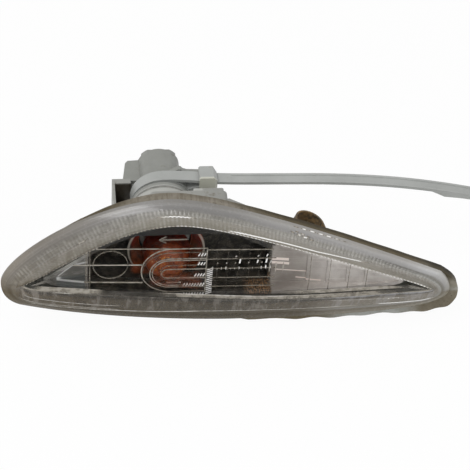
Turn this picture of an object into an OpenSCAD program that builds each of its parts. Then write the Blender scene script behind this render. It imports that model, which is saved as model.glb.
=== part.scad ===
// Side repeater lamp for the front wing of a car: a clear fin shaped lens on a
// light grey housing, with a wedge bulb in a quarter-turn holder behind it and a
// nylon strap tie fastened round the holder.
//
// Millimetres. X runs along the lens, -Y is the side that shines outwards, +Y goes
// back through the body panel, Z is up. The origin is on the bulb axis, in the plane
// of the foam gasket that rests on the panel.

/* [Lens outline] */
// Overall length of the lens, nose to tip
lens_l = 142; // [120:1:170]
// Overall height of the lens
lens_h = 49.7; // [44:0.1:58]
// Wall thickness of the lens
wall = 2.0; // [1.6:0.1:2.6]
// Straight skirt at the foot of the lens
skirt_h = 1.3; // [0.8:0.1:1.6]
// Lip of the skirt that covers the edge of the housing flange
lip_t = 1.0; // [0.8:0.1:1.2]
// Depth of the front face of the lens at the bulb axis
face_d = 9.9; // [9:0.1:11]
// How much the front face leans forward towards its top edge
face_lean = 0.0707; // [0.05:0.001:0.09]
// Height of the slight crown of the front face
face_crown = 0.5; // [0.2:0.1:1]
// Depth of the ridge round the sloping band
ridge_d = 7.0; // [6.6:0.1:7.4]
// Depth of the flutes of the inner band
flute_d = 0.22; // [0.1:0.01:0.3]

/* [Lens optics] */
// Width of the raised lines on the inside of the front face
rib_w = 0.5; // [0.4:0.05:0.7]
// Height of the raised lines
rib_h = 0.45; // [0.3:0.05:0.6]
// Outer, middle and inner radius of the nested loops in front of the bulb
loop_r = [9.5, 5.9, 1.9];
// Right-hand end of the loops, where the grid begins
loop_end = 11.5; // [10:0.5:13]
// Pitch of the grid lines
grid_pitch = 3.3; // [3:0.1:4]

/* [Housing] */
// Thickness of the panel gasket
gasket_t = 3.0; // [2.6:0.1:3.4]
// Thickness of the housing flange
flange_t = 1.2; // [1.2:0.1:1.6]
// Wall thickness of the housing
shell_t = 1.6; // [1.2:0.1:2]
// Inset of the housing body from the lens outline
body_inset = 5.4; // [5.2:0.1:6]
// Inset of the gasket opening from the lens outline
gasket_inset = 4.8; // [4.4:0.1:5]
// Rear face of the middle step of the housing
mid_y = 11.8; // [11:0.1:13]
// Rear face of the bulb box
box_y = 14.6; // [14:0.1:18]
// Top face of the bulb box
box_top = 14.7; // [14:0.1:16.6]

/* [Bulb holder] */
// Length of the collar that takes the holder
collar_l = 6.6; // [6:0.1:8]
// Radius of the holder plug
plug_r = 7.9; // [7.6:0.1:8.2]
// Radius of the holder drum that carries the strap tie
drum_r = 9.0; // [8.6:0.1:9.6]
// Length of the holder drum
drum_l = 6.6; // [6:0.1:8]
// Radius of the connector end
socket_r = 6.9; // [6.5:0.1:7.2]
// Rear end of the holder
holder_y = 46; // [44:0.5:50]
// Radius of the connector opening
socket_bore = 5.5; // [5.2:0.1:5.6]
// Depth of the connector opening
socket_d = 10; // [8:0.5:11]

/* [Bulb] */
// Radius of the bulb
bulb_r = 7.4; // [6.8:0.1:7.6]
// Front end of the bulb, measured forward from the panel
bulb_tip = 5.2; // [3:0.1:5.6]
// Glass wall thickness
glass_t = 0.7; // [0.5:0.1:0.9]

/* [Strap tie] */
// Width of the strap
tie_w = 4.5; // [4.3:0.1:4.8]
// Thickness of the strap
tie_t = 1.0; // [0.9:0.1:1.2]
// End of the tail, measured along the lens
tail_x = 106; // [96:1:112]

/* [Hidden] */
$fn = 72;
fit = 0.15;
front_y = -(gasket_t + flange_t);
foot_y = -gasket_t;
skirt_d = gasket_t + skirt_h;
collar_y = box_y + collar_l;
seal_t = 1.4;
holder_flange_t = 2.2;
flange_y = collar_y + seal_t;
drum_y = flange_y + holder_flange_t;
drum_end = drum_y + drum_l;
tie_y = drum_y + 0.9;
lug_t = 1.8;
lug_r = plug_r + 1.4;
lug_y = box_y - shell_t - 0.2;
web_y = 24;
socket_y = holder_y - socket_d;
wedge = [12.6, 4.6];
lead_r = 0.28;
sx = lens_l / 142;
sz = lens_h / 49.7;
nose_x = -51.6 * sx;

// A point on a Bezier curve.
function bez(a, b, c, d, t) =
    pow(1 - t, 3) * a + 3 * pow(1 - t, 2) * t * b + 3 * (1 - t) * t * t * c + t * t * t * d;

// A closed loop of Bezier pieces. Each piece is [start, first handle, second handle].
function loop(p, n) = [for (k = [0 : len(p) - 1]) for (i = [0 : n[k] - 1])
    let (q = bez(p[k][0], p[k][1], p[k][2], p[(k + 1) % len(p)][0], i / n[k])) [q[0] * sx, q[1] * sz]];

// Points per piece: nose to crown, crown to shoulder, tip, heel, belly, chin, nose.
// The first three and the last four have the same sum, so top and bottom points pair up.
loop_n = [40, 52, 8, 12, 36, 40, 12];
half_n = 100;

outline_p = [[[-51.6, -5], [-50.5, 5.1], [-23.7, 26.6]], [[0, 26.6], [17, 26.6], [57.5, 8.3]],
    [[86.8, -5.5], [88.8, -7.3], [90.4, -9.9]], [[90.4, -12.6], [90.4, -15.4], [87.6, -17]],
    [[84, -18.5], [72, -22], [48, -23]], [[20, -23.1], [0, -22.8], [-28, -19.8]],
    [[-46, -14.3], [-50, -12.6], [-51.6, -9.3]]];
ridge_p = [[[-47, -5], [-44.5, 3], [-17, 24.2]], [[1, 24.2], [16, 24.2], [54, 6.5]],
    [[80, -5.5], [83, -7.3], [86.2, -9.3]], [[86.2, -11.2], [86.2, -13], [84.6, -14]],
    [[81, -15], [66, -17.4], [42, -18.2]], [[20, -17.9], [0, -17.6], [-22, -15.4]],
    [[-40, -11.9], [-44.2, -11], [-47, -9]]];
crease_p = [[[-45.2, -1.6], [-34, 5.5], [-16, 23.3]], [[2, 23.3], [15, 23.3], [50, 7.2]],
    [[78, -4.6], [80.5, -5.8], [83, -7.2]], [[83.6, -7.9], [83, -8.4], [80, -8.7]],
    [[78, -8.7], [64, -9.6], [45, -11.2]], [[30, -10.6], [10, -9.6], [-18, -6.8]],
    [[-40, -3.9], [-43, -3.3], [-44.6, -2.6]]];
insert_p = [[[-38.5, -2.2], [-30, 3.5], [-13, 19.2]], [[2, 19.2], [13, 19.2], [44, 6]],
    [[72, -4.9], [73.6, -5.5], [74.6, -6.2]], [[74.6, -7], [74.6, -7.9], [73, -8.6]],
    [[71, -8.8], [56, -10.2], [42, -11]], [[30, -11.2], [10, -11], [-16, -9]],
    [[-34, -5.6], [-37, -5], [-38.5, -3.7]]];
foam_p = [[[-48.3, -5], [-46, 4], [-20, 26.5]], [[0, 26.5], [16, 26.5], [60, 6.6]],
    [[87.5, -6], [91, -8.4], [93.5, -11]], [[93.6, -14.5], [93.6, -18.5], [92.8, -21.4]],
    [[88.6, -22.2], [78, -24.2], [58, -24.2]], [[42, -25.3], [14, -24.2], [-24, -19.6]],
    [[-43, -13.8], [-46.6, -12.4], [-48.3, -9]]];

outline = loop(outline_p, loop_n);
ridge = loop(ridge_p, loop_n);
crease = loop(crease_p, loop_n);
mid_p = [[-26.6, -9], [-26.6, 6.6], [-10, 13.2], [20, 13.6], [35, 5.5], [35, -12.6], [0, -12.2]];
mid_outline = [for (p = mid_p) [p[0] * sx, p[1] * sz]];

function mix(a, b, f) = a + (b - a) * f;
function mix_loop(a, b, f) = [for (i = [0 : 2 * half_n - 1]) mix(a[i], b[i], f)];
function rim_ring(f) = mix_loop(outline, ridge, f);
// A ring of the sloping band, a share f of the way from the ridge to the crease.
function band_ring(f) = at_depth(fluted(mix_loop(ridge, crease, f), flute_d),
    mix(ridge_d, face_d, f), mix(ridge_lean, face_lean, f));
// The point across the loop, on the other long side.
function across(p, i) = p[(2 * half_n - i) % (2 * half_n)];
// A loop drawn in by dx at its two ends and by dz across its height.
function drawn_in(p, dx, dz) = let (l = p[0][0], r = p[half_n][0], c = (l + r) / 2, k = 1 - 2 * dx / (r - l))
    [for (i = [0 : 2 * half_n - 1]) let (q = across(p, i), h = max(0.01, norm(q - p[i])),
        m = mix(p[i], q, min(0.36, dz / h))) [c + (m[0] - c) * k, m[1]]];
function at_depth(p, base, lean, y0 = 0) = [for (q = p) [q[0], y0 - base - lean * q[1], q[1]]];
function at_y(p, y) = [for (q = p) [q[0], y, q[1]]];
// Every second point of the upper side moved towards the middle by the depth of a flute.
function fluted(p, d) = [for (i = [0 : 2 * half_n - 1]) let (q = across(p, i), h = max(0.01, norm(q - p[i])))
    i % 2 == 0 || i < 4 || i > half_n - 4 ? p[i] : p[i] + (q - p[i]) * (d / h)];

face_pts = at_depth(crease, face_d, face_lean);
back_pts = at_depth(drawn_in(crease, 1.6 * wall, 0.8 * wall), face_d - wall, face_lean);
ridge_lean = 0.0557;

// Rings of the lens skin, from the rear edge of the inside, round the foot, to the
// rim of the front face.
lens_rings = [
    back_pts,
    at_depth(drawn_in(ridge, 0.9 * wall, 0.6 * wall), ridge_d - 0.8 * wall, ridge_lean),
    at_y(drawn_in(outline, wall, wall), front_y - 0.6),
    at_y(drawn_in(outline, wall, wall), front_y),
    at_y(drawn_in(outline, lip_t, lip_t), front_y),
    at_y(drawn_in(outline, lip_t, lip_t), foot_y),
    at_y(outline, foot_y),
    at_y(outline, -skirt_d),
    at_depth(rim_ring(0.52), mix(skirt_d, ridge_d, 0.65), 0.6 * ridge_lean),
    at_depth(fluted(rim_ring(0.66), flute_d), mix(skirt_d, ridge_d, 0.78), 0.7 * ridge_lean),
    band_ring(0),
    band_ring(0.84),
    face_pts];
face_rows = 5;
// Crown of the front face between a point and the one across from it.
face_grid = [for (s = [1 : face_rows - 1]) for (i = [1 : half_n - 1])
    let (a = face_pts[i], b = face_pts[2 * half_n - i], f = s / face_rows, w = min(1, norm(a - b) / 20))
    mix(a, b, f) - [0, 4 * f * (1 - f) * face_crown * w, 0]];
ring_n = 2 * half_n;
last_ring = (len(lens_rings) - 1) * ring_n;
grid_at = len(lens_rings) * ring_n;
// Number of the face point in row s at place i.
function face_id(s, i) = i == 0 || i == half_n || s == 0 ? last_ring + i
    : s == face_rows ? last_ring + ring_n - i : grid_at + (s - 1) * (half_n - 1) + i - 1;

module lens_skin() {
    pts = concat([for (r = lens_rings) each r], face_grid);
    walls = [for (k = [0 : len(lens_rings) - 2]) for (i = [0 : ring_n - 1])
        let (a = k * ring_n + i, b = k * ring_n + (i + 1) % ring_n) each
            [[a, b, b + ring_n], [a, b + ring_n, a + ring_n]]];
    front = [for (s = [0 : face_rows - 1]) for (i = [0 : half_n - 1])
        let (a = face_id(s, i), b = face_id(s, i + 1), c = face_id(s + 1, i + 1), d = face_id(s + 1, i)) each
            (i == 0 ? [[a, b, c]] : i == half_n - 1 ? [[a, b, d]] : [[a, b, c], [a, c, d]])];
    rear = [for (i = [0 : half_n - 1])
        let (a = i, b = i + 1, c = (ring_n - i - 1) % ring_n, d = (ring_n - i) % ring_n) each
            (i == 0 ? [[b, a, c]] : i == half_n - 1 ? [[b, a, d]] : [[b, a, d], [b, d, c]])];
    polyhedron(pts, concat(walls, front, rear), convexity = 8);
}

// Flat shape drawn in X and Z, made solid from y0 to y1.
module slab(y0, y1) translate([0, y1, 0]) rotate([90, 0, 0]) linear_extrude(y1 - y0) children();
// Round bar along Y.
module rod(r, y0, y1, n = $fn)
    translate([0, y0, 0]) rotate([-90, 0, 0]) cylinder(r = r, h = y1 - y0, $fn = n);
// Turned shape about the bulb axis, drawn as radius and Y.
module turned() rotate([-90, 0, 0]) rotate_extrude() children();
module inset(d) offset(delta = -d) polygon(outline);
module box2(x0, x1, z0, z1, r = 0) {
    if (r == 0) translate([x0, z0]) square([x1 - x0, z1 - z0]);
    else translate([x0 + r, z0 + r]) offset(r = r, $fn = 24) square([x1 - x0 - 2 * r, z1 - z0 - 2 * r]);
}

// One line of the lens pattern, from a to b.
module rib(a, b, w = rib_w) {
    v = b - a;
    translate(a) rotate(atan2(v[1], v[0])) translate([0, -w / 2]) square([norm(v), w]);
}
module ring2(r, w = rib_w) difference() {
    circle(r = r + w / 2, $fn = 64);
    circle(r = r - w / 2, $fn = 64);
}
// A loop that is round on the left and open on the right.
module lens_loop(r, c, w = rib_w) {
    intersection() {
        translate(c) ring2(r, w);
        translate([c[0] - r - 1, c[1] - r - 1]) square([r + 1, 2 * r + 2]);
    }
    for (s = [-1, 1]) rib([c[0] - 0.1, c[1] + s * r], [loop_end, c[1] + s * r], w);
}
module lens_pattern() {
    lens_loop(loop_r[0], [1, 1.8]);
    lens_loop(loop_r[1], [0.4, 0.7], 0.8);
    lens_loop(loop_r[2], [-0.3, 0.4]);
    rib([-0.5, -3.5], [4, -3.5]);
    rib([loop_end, -8], [loop_end, 11.4]);
    for (k = [1 : 6]) let (x = loop_end + k * grid_pitch) rib([x, -9.4], [x, 10.4]);
    for (z = [-5.7, -1.8, 2.3, 6.5]) rib([loop_end, z], [33, z - 0.2]);
    rib([loop_end, 10.6], [28, 10.4]);
    rib([-22.5, 12], [0, 11.4]);
    rib([-29.4, 5.2], [-8.4, 4.6]);
    rib([-2.4, 15.4], [5.3, 15.4], 0.7);
    for (s = [-1, 1]) rib([-3.2, 15.4], [-1.2, 15.4 + s * 1.3], 0.6);
    translate([-18, 5]) scale([0.88, 1]) ring2(6);
    // one line over each step of the reflector's right wing
    for (k = [1 : 4]) rib([step_x[k], -8.4], [step_x[k], 10.4 - 0.29 * step_x[k]]);
}

module lens() color([0.86, 0.87, 0.86]) {
    lens_skin();
    // the pattern stands on the flat inside of the front face
    translate([0, -(face_d - wall), 0]) rotate([atan(face_lean), 0, 0])
        slab(-0.3, rib_h) intersection() {
            lens_pattern();
            polygon([for (q = drawn_in(crease, 2.6 * wall, 1.25 * wall)) q]);
        }
}

// Groove for the bead that bonds the lens.
module bead_ring() difference() {
    inset(1.5);
    inset(2.8);
}
module lens_sealant() color([0.16, 0.15, 0.14]) slab(front_y, front_y + 0.8) bead_ring();

// Bulb box seen from the back, with its upper left corner cut off beside the holder.
module box_outline() offset(r = 2, $fn = 24) offset(delta = -2) polygon([[-11.2, -12.6], [19.5, -12.6],
    [19.5, box_top], [-4, box_top], [-11.2, 6]]);
module box_inside() offset(r = 1, $fn = 24) offset(delta = -shell_t - 1) box_outline();

module housing() color([0.62, 0.62, 0.59]) {
    // flange with the groove that the lens is bonded in
    difference() {
        slab(front_y, foot_y) difference() {
            polygon(drawn_in(outline, lip_t + 0.08, lip_t + 0.08));
            inset(body_inset + shell_t);
        }
        slab(front_y - 1, front_y + 0.8) bead_ring();
    }
    // stepped body
    difference() {
        union() {
            slab(front_y, 0.2 + shell_t) inset(body_inset);
            slab(0.2, mid_y) polygon(mid_outline);
            slab(0.2, box_y) box_outline();
            rod(plug_r + 2.9, box_y - 1, collar_y);
        }
        slab(front_y - 1, 0.2) inset(body_inset + shell_t);
        slab(-1, mid_y - shell_t) offset(delta = -shell_t) polygon(mid_outline);
        slab(-1, lug_y) box_inside();
        rod(plug_r + fit, box_y - 4, collar_y + 1);
        // three key ways for the lugs of the holder
        for (a = [30, 150, 270]) rotate([0, a, 0]) slab(box_y - 4, collar_y + 1) key_way();
    }
    // guard beside the holder, with its end plate and floor
    difference() {
        slab(mid_y - 0.8, drum_end + 3) box2(-15.6, -9.6, -7, 3.5);
        slab(mid_y, drum_end + 0.8) box2(-14.8, -5, -5.8, 5);
        slab(mid_y - 2, drum_end + 0.8) box2(-11, -5, -8, 5);
    }
    // stop block on the rear wall of the box
    slab(box_y - 0.5, box_y + 2.5) box2(9, 18.6, 2, box_top - 1.2, 0.6);
    // hook at the nose end and the two pegs of the spring clip
    slab(0.2 + shell_t - 0.1, 4) intersection() {
        inset(body_inset + 0.3);
        hook_plan();
    }
    slab(2.4, 4) hook_plan();
    clip_frame() for (x = [-clip_foot, clip_foot]) translate([x, 0, 0]) {
        rod(0.9, 0.2 + shell_t - 0.5, 0.2 + shell_t + clip_t + 0.7);
        rod(1.6, 0.2 + shell_t + clip_t, 0.2 + shell_t + clip_t + 0.7);
    }
    // stiffening ribs on the middle step
    for (x = [-22, 24.5, 29.5]) slab(mid_y - 0.5, mid_y + 1.4) box2(x, x + 1.2, -8, 4);
}
module hook_plan() box2(nose_x + 3, nose_x + 12, -12.6 * sz, -7.4 * sz);
module key_way() intersection() {
    circle(r = lug_r + 0.2);
    translate([0, -2.4]) square([20, 4.8]);
}

// reflector: window shaped tray with a deep chamber, a bowl round the bulb and a
// stepped wing at each end
chamber = [-25, 34];
step_x = [34, 44, 50.3, 56.5, 62.2, 75];
step_y = [-1, -2.2, -3.2, -4.1, -4.9, -5.7];
reflector_t = 1.2;
module insert_outline(d = 0) offset(delta = -d) polygon(loop(insert_p, [16, 20, 4, 4, 14, 16, 4]));
module deep_outline(d = 0) offset(delta = -d) intersection() {
    insert_outline(0.35);
    offset(delta = -shell_t - 0.3) polygon(mid_outline);
}
// What stands in the way of the tray where it is wider than the housing body.
module body_step() slab(front_y, 1) difference() {
    box2(-lens_l, lens_l, -lens_h, lens_h);
    inset(body_inset + shell_t + 0.2);
}
module reflector() color([0.5, 0.5, 0.5]) {
    front = -5.8;
    floor_y = mid_y - shell_t;
    difference() {
        union() {
            slab(front, 0.2) insert_outline();
            slab(-0.5, floor_y) deep_outline();
        }
        // inside of the rim, down to the ledge round the deep chamber
        slab(front - 1, -1) insert_outline(reflector_t);
        // open below the two wings
        slab(-2, 1) intersection() {
            insert_outline(reflector_t);
            union() {
                box2(-lens_l, chamber[0] * sx, -lens_h, lens_h);
                box2(chamber[1] * sx, lens_l, -lens_h, lens_h);
            }
        }
        slab(-2, floor_y - reflector_t) deep_outline(reflector_t);
        rod(bulb_r + 0.9, 0, floor_y + 1);
        body_step();
    }
    // bowl round the bulb
    intersection() {
        turned() polygon([[bulb_r + 0.9, floor_y - 0.6], [bulb_r + 1.9, floor_y - 0.6],
            [12.3, 3.8], [11.5, 3.4]]);
        slab(-2, floor_y) deep_outline(0.6);
    }
    // wings
    difference() {
        intersection() {
            slab(front - 1, 1) insert_outline(0.6);
            translate([0, 0, -30]) linear_extrude(60) {
                wing_step([chamber[0] + 0.4, -1], [-38.5, -5.2]);
                for (k = [0 : 4])
                    wing_step([step_x[k], step_y[k]], [step_x[k + 1] + 0.6, step_y[k + 1] + 0.5]);
            }
        }
        body_step();
    }
}
// Sloping piece of a wing floor between two points, seen from above.
module wing_step(a, b) polygon([[a[0] * sx, a[1]], [b[0] * sx, b[1]],
    [b[0] * sx, b[1] + reflector_t], [a[0] * sx, a[1] + reflector_t]]);

// gasket: pressed foam, torn and swollen along the lower right edge
module panel_gasket() color([0.36, 0.33, 0.27]) slab(-gasket_t, 0) difference() {
    polygon([for (i = [0 : ring_n - 1])
        let (q = loop(foam_p, loop_n)[i], f = i > half_n && i < half_n + 56 ? 1 : 0.15)
        [q[0], q[1] - f * (0.3 * sin(i * 47) + 0.25 * sin(i * 19))]]);
    inset(gasket_inset);
}

// leaf spring on the back of the housing
clip_t = 0.6;
clip_foot = 8.2;
clip_w = 5;
module clip_frame() translate([45.4 * sx, 0, 3.6 * sz]) rotate([0, 22, 0]) children();
function arc_of(a, b, c, d, n) = [for (i = [1 : n]) bez(a, b, c, d, i / n)];
// Side view of the spring, d out from its inner face: foot, arch and foot.
function clip_line(d) = let (
    y = 0.2 + shell_t + d,
    rise = [-5.4 - 0.9 * d, y + 6.5],
    fall = [3.6 + 0.9 * d, y + 8]) concat(
    [[-9.9, y], [-6.6, y]],
    arc_of([-6.6, y], [-5.6, y], [-5.6 - 0.5 * d, y + 3], rise, 6),
    arc_of(rise, [-4.6 - 0.7 * d, y + 12.2], [2 + 0.8 * d, y + 12.8], fall, 12),
    arc_of(fall, [4.8 + 0.7 * d, y + 4], [5, y], [6.8, y], 6),
    [[9.9, y]]);
module spring_clip() color([0.2, 0.15, 0.1]) clip_frame() difference() {
    translate([0, 0, -clip_w / 2]) linear_extrude(clip_w) polygon(concat(clip_line(0),
        [for (i = [len(clip_line(0)) - 1 : -1 : 0]) clip_line(clip_t)[i]]));
    for (x = [-clip_foot, clip_foot]) translate([x, 0, 0]) rod(1, 0, 4);
}

// bulb holder: plug with lugs, flange, drum and connector end
module bulb_holder() color([0.6, 0.61, 0.58]) difference() {
    union() {
        rod(plug_r, box_y - 4.4, flange_y + 0.5);
        turned() polygon([[0, flange_y], [drum_r + 1.4, flange_y], [drum_r + 1.4, drum_y - 0.6],
            [drum_r + 0.8, drum_y], [0, drum_y]]);
        turned() polygon([[0, drum_y - 0.5], [drum_r, drum_y - 0.5], [drum_r, drum_end - 0.8],
            [drum_r - 0.8, drum_end], [0, drum_end]]);
        turned() polygon([[0, drum_end - 1], [socket_r, drum_end - 1], [socket_r, holder_y - 0.7],
            [socket_r - 0.7, holder_y], [0, holder_y]]);
        // the connector end is squared off on top
        slab(drum_end - 1, holder_y - 0.5) intersection() {
            circle(r = socket_r + 0.4);
            box2(-5.6, 5.6, 0, socket_r - 0.5, 1.4);
        }
        // grip wing beside it
        slab(drum_end - 0.4, drum_end + 1.4) polygon([[3, 3.6], [3, socket_r + 1.6], [5.4, socket_r + 2.9],
            [6.2, socket_r + 2.9], [6.9, socket_r + 2.1], [8.2, socket_r + 1.6], [13.8, socket_r + 1.3],
            [14.4, socket_r + 0.7], [14.4, 3.6]]);
        for (a = [90, 210, 330]) rotate([0, a, 0]) slab(lug_y - lug_t, lug_y) lug();
        // latch rib beside the connector end
        translate([0, 0, -2.4]) linear_extrude(4.8) polygon([[-socket_r + 1, drum_end + 3.3],
            [-12.1, drum_end + 3.3], [-10.9, holder_y - 2.3], [-10, holder_y - 1.1],
            [-socket_r + 1, holder_y - 0.8]]);
        slab(drum_end - 0.8, drum_end + 3.4) box2(-9.2, -socket_r + 1, -1.1, 1.1);
    }
    // room for the wedge of the bulb, and its mouth
    slab(box_y - 6, web_y)
        box2(-wedge[0] / 2 - fit, wedge[0] / 2 + fit, -wedge[1] / 2 - 1.1, wedge[1] / 2 + 1.1);
    // slots for the two contacts
    for (a = [0, 180]) rotate([0, a, 0]) slab(web_y - 1, socket_y + 1) blade();
    // connector opening with a key
    rod(socket_bore, socket_y, holder_y + 1);
    slab(holder_y - 6, holder_y + 1) box2(-1.6, 1.6, 0, socket_bore + 0.7);
}
module blade() box2(1.2, 3.8, -3.4, -2.86);
module lug() intersection() {
    circle(r = lug_r);
    translate([0, -2.2]) square([20, 4.4]);
}

module holder_seal() color([0.1, 0.1, 0.1]) turned() polygon([
    [plug_r, collar_y], [plug_r + 2.3, collar_y], [plug_r + 2.6, collar_y + 0.5],
    [plug_r + 2.6, flange_y - 0.5], [plug_r + 2.3, flange_y], [plug_r, flange_y]]);

// Stamped contact: spring end at the bulb, blade in the connector opening.
module contact() color([0.72, 0.6, 0.36]) {
    slab(box_y - 3, holder_y - 3.4) blade();
    // lead-in at the bulb end
    translate([1.2, 0, 0]) rotate([0, 90, 0]) linear_extrude(2.6) polygon([
        [2.86, box_y - 2.9], [3.4, box_y - 2.9], [3.4, box_y - 3.3],
        [3.2, box_y - 4.2], [2.7, box_y - 4.2], [2.86, box_y - 3.4]]);
}
module contact_right() contact();
module contact_left() rotate([0, 180, 0]) contact();

// bulb: round glass on a flat wedge, with a dimple line where the wedge starts
module bulb_glass() color([0.75, 0.33, 0.08]) difference() {
    union() {
        turned() polygon(glass_line(bulb_r, -bulb_tip, box_y - 7.6, 2));
        slab(box_y - 8.4, web_y - 2 * lead_r)
            box2(-wedge[0] / 2, wedge[0] / 2, -wedge[1] / 2, wedge[1] / 2, 0.6);
    }
    turned() polygon(glass_line(bulb_r - glass_t, -bulb_tip + glass_t, box_y - 9.2, 1.6));
    for (s = [-1, 1]) translate([s * 2.5, 0, 0]) rod(lead_r, box_y - 12, web_y);
}
// Outline of the round part: dome in front, shoulder behind.
function glass_line(r, tip, base, c) = concat([[0, tip]],
    [for (a = [10 : 10 : 90]) [r * sin(a), tip + 0.8 * r * (1 - cos(a))]],
    [for (a = [0 : 15 : 90]) [r - c + c * cos(a), base - c + c * sin(a)]], [[0, base]]);

// Lead wire: up through the wedge to the filament, and folded back outside it.
module lead(s) color([0.7, 0.7, 0.7]) {
    end_y = web_y - lead_r;
    fold = -s * (wedge[1] / 2 + lead_r);
    rod_at([s * 2.5, 0]) rod(lead_r, 1, end_y, 24);
    translate([s * 2.5, end_y, min(0, fold)]) cylinder(r = lead_r, h = abs(fold), $fn = 24);
    rod_at([s * 2.5, fold]) rod(lead_r, box_y - 2.4, end_y, 24);
    for (z = [0, fold]) translate([s * 2.5, end_y, z]) sphere(r = lead_r, $fn = 24);
}
module lead_left() lead(-1);
module lead_right() lead(1);
module rod_at(p) translate([p[0], 0, p[1]]) children();

// Coiled filament between the ends of the leads.
module bulb_filament() color([0.5, 0.5, 0.5]) {
    translate([-2.5 + lead_r, 1.6, 0]) rotate([0, 90, 0]) cylinder(r = 0.3, h = 5 - 2 * lead_r, $fn = 24);
}

// strap tie: ring round the drum, head, and a tail that leaves through the head
head_x = drum_r + 2.8;
head_z = 0.874 * drum_r;
function tail_path() = concat(
    [for (i = [0 : 3]) bez([0, drum_r + 0.62], [drum_r / 2, drum_r + 0.6],
        [0.95 * drum_r, head_z + 1.5], [head_x, head_z + 1], i / 4)],
    [for (i = [0 : 9]) bez([head_x, head_z + 1], [head_x + 8, head_z - 0.4], [42, 7.9], [56, 7.1], i / 10)],
    [for (i = [0 : 12]) bez([56, 7.1], [74, 6.1], [88, 3.9], [tail_x, -0.7], i / 12)]);
function along(p, i) = let (a = p[max(0, i - 1)], b = p[min(len(p) - 1, i + 1)], v = b - a) v / norm(v);
function side_line(p, d) = [for (i = [0 : len(p) - 1]) let (v = along(p, i)) p[i] + d * [-v[1], v[0]]];
function rev(p) = [for (i = [len(p) - 1 : -1 : 0]) p[i]];
// The strip between two lines that run beside a path, d0 and d1 away from it.
module band(p, d0, d1) polygon(concat(side_line(p, d0), rev(side_line(p, d1))));

module cable_tie() color([0.7, 0.7, 0.68]) {
    y0 = tie_y;
    y1 = tie_y + tie_w;
    rail = 0.9;
    p = tail_path();
    sunk = [for (q = p) if (q[0] > head_x + 7 && q[0] < tail_x - 3) q];
    // ring round the drum and tail, both with a sunk middle, and a thicker grip at the end
    difference() {
        union() {
            turned() polygon([[drum_r, y0], [drum_r + tie_t, y0], [drum_r + tie_t, y1], [drum_r, y1]]);
            slab(y0, y1) {
                band(p, tie_t / 2, -tie_t / 2);
                intersection() {
                    band(p, 0, -tie_t / 2 - 1.6);
                    polygon([[87.5, 20], [87.5, 3.1], [92.4, 0.5], [98, -0.3],
                        [tail_x, -1.9], [tail_x, 20]]);
                }
            }
        }
        slab(y0 + rail, y1 - rail) band(sunk, tie_t / 2 - 0.2, tie_t / 2 + 1);
    }
    // head: block with bevelled corners, and the strap in its slot
    difference() {
        intersection() {
            slab(y0 - 1.1, y1 + 0.6) translate([head_x, head_z]) polygon([[0, -1.8], [5, -1.8], [5.8, -1.2],
                [5.8, 1.9], [4.6, 3.3], [0.5, 3.3], [0, 2.8]]);
            translate([0, 0, head_z - 2.6]) linear_extrude(7) polygon([
                [head_x - 0.1, y0 - 1.1], [head_x + 5, y0 - 1.1], [head_x + 5.9, y0 - 0.3],
                [head_x + 5.9, y1 - 0.8], [head_x + 4.6, y1 + 0.6], [head_x - 0.1, y1 + 0.6]]);
        }
        slab(y0 - 0.15, y1 + 0.15) band(p, tie_t / 2 + 0.15, -tie_t / 2 - 0.35);
    }
    // pawl that bites the strap, and the neck from the head to the ring
    slab(y0 + 1, y1 - 1) box2(head_x + 1.4, head_x + 3.4, head_z - 1.3, head_z - 0.2);
    slab(y0 + 0.3, y1 - 0.3) polygon([[head_x + 0.5, head_z - 1.7], [head_x + 0.5, head_z - 1],
        drum_r * [0.86, 0.62], drum_r * [0.978, 0.356]]);
}

lens();
lens_sealant();
housing();
reflector();
panel_gasket();
spring_clip();
bulb_holder();
holder_seal();
contact_left();
contact_right();
bulb_glass();
lead_left();
lead_right();
bulb_filament();
cable_tie();
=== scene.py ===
import math

import bmesh
import bpy
import numpy as np
from mathutils import Matrix, Vector


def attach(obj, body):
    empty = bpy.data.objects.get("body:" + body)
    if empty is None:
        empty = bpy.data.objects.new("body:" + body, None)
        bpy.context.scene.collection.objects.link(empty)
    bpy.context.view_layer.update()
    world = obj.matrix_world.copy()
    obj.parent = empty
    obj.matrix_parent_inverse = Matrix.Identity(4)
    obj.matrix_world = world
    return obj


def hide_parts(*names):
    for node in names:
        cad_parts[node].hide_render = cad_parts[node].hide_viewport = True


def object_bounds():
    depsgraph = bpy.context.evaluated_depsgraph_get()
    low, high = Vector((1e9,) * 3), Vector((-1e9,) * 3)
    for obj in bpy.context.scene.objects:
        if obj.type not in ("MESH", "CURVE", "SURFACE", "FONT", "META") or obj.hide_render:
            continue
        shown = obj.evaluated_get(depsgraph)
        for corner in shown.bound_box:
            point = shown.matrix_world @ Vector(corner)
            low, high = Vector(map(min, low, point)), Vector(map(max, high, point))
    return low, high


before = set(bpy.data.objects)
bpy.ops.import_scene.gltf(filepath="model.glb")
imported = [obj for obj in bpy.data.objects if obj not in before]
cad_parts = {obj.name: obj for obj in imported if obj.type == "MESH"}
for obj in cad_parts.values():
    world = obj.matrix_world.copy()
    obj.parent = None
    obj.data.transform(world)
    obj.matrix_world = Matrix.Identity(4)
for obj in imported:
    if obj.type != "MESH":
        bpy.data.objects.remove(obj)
cad_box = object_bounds()

# Lengths below are in millimetres, as in the part's own drawing, and MM makes them metres.
MM = 0.001
BODY = "root"

# Camera and picture
PHOTO_SIDE = 470
AZIMUTH, ELEVATION, ROLL = -8, 42, 4
CAMERA_AWAY = 0.6
AIM = Vector((0.021, 0, 0))
PIXELS_PER_MM = 3.2
SHIFT = (1 / PHOTO_SIDE, 21 / PHOTO_SIDE)
SENSOR = 36

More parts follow.
